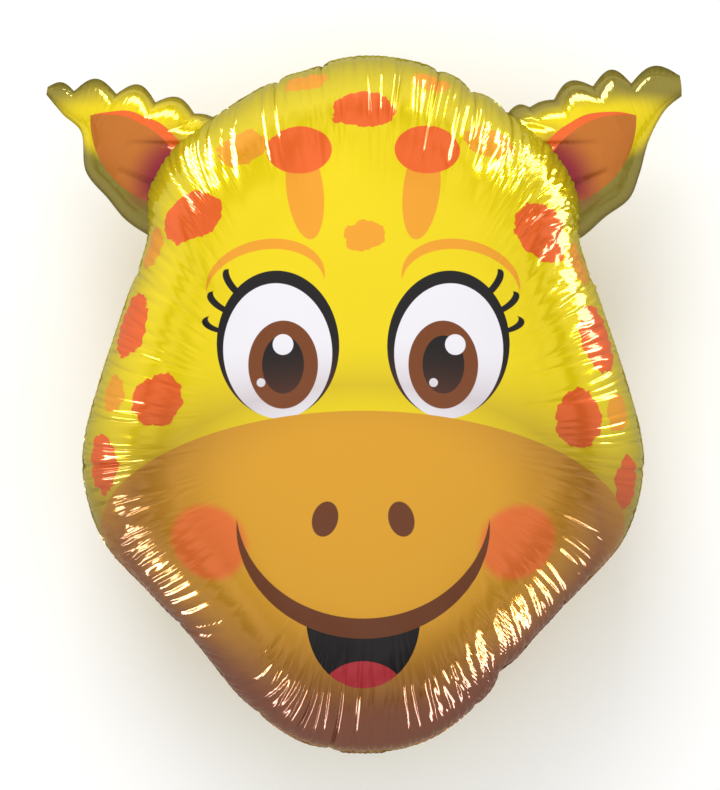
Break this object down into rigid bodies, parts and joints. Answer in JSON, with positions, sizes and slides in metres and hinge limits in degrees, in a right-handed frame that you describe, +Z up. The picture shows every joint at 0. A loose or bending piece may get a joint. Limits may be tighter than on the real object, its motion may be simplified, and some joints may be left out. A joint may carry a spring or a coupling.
{
  "type": "giraffe head foil balloon",
  "caption": "Inflated foil balloon in the outline of a giraffe's head, with ears at the sides, a welded rim gathered into puckers and a filling neck folded behind the chin.",
  "frame": {"origin": "middle of the flat spot on the back, on the surface that the balloon lies on", "axes": "+Z up out of the face, +Y from the chin to the crown, +X towards the viewer's right ear"},
  "size_m": [0.3349, 0.3663, 0.1867],
  "materials": {
    "printed_foil": "glossy metallised film printed in yellow, tan and orange, gathered into fine puckers at the weld"
  },
  "bodies": {
    "root": {"foil_balloon": "printed_foil"}
  },
  "joints": []
}
